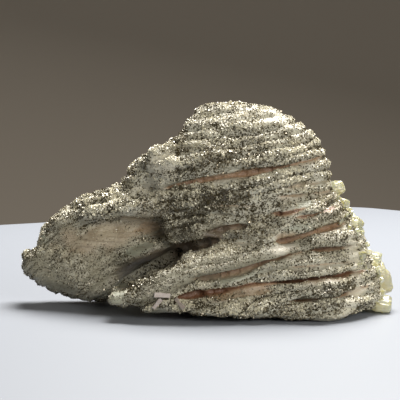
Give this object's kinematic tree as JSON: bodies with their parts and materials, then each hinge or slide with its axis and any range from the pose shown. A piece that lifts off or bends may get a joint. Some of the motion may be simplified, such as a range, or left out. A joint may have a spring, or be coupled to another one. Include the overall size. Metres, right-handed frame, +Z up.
{
  "type": "barite specimen",
  "caption": "Leaning stack of curved, intergrown barite blades dusted with fine metallic druse, with clear yellow crystals on one flank and a flat underside to rest on",
  "frame": {"origin": "on the surface that the specimen rests on, under the middle of its bounding box", "axes": "+X along the specimen's length, from the tip of the overhanging slab to the flank with the yellow crystals; +Y towards its back; +Z up"},
  "size_m": [0.1216, 0.0572, 0.0674],
  "materials": {
    "barite": "rough, dusted with metallic grains",
    "yellow_barite": "clear, vitreous",
    "white_barite": "translucent, silky"
  },
  "bodies": {
    "root": {"barite_blades": "barite", "yellow_crystal_1": "yellow_barite", "yellow_crystal_2": "yellow_barite", "yellow_crystal_3": "yellow_barite", "yellow_crystal_4": "yellow_barite", "yellow_crystal_5": "yellow_barite", "yellow_crystal_6": "yellow_barite", "yellow_crystal_7": "yellow_barite", "yellow_crystal_8": "yellow_barite", "yellow_crystal_9": "yellow_barite", "yellow_crystal_10": "yellow_barite", "yellow_crystal_11": "yellow_barite", "white_lath_1": "white_barite", "white_lath_2": "white_barite", "white_lath_3": "white_barite"}
  },
  "joints": []
}
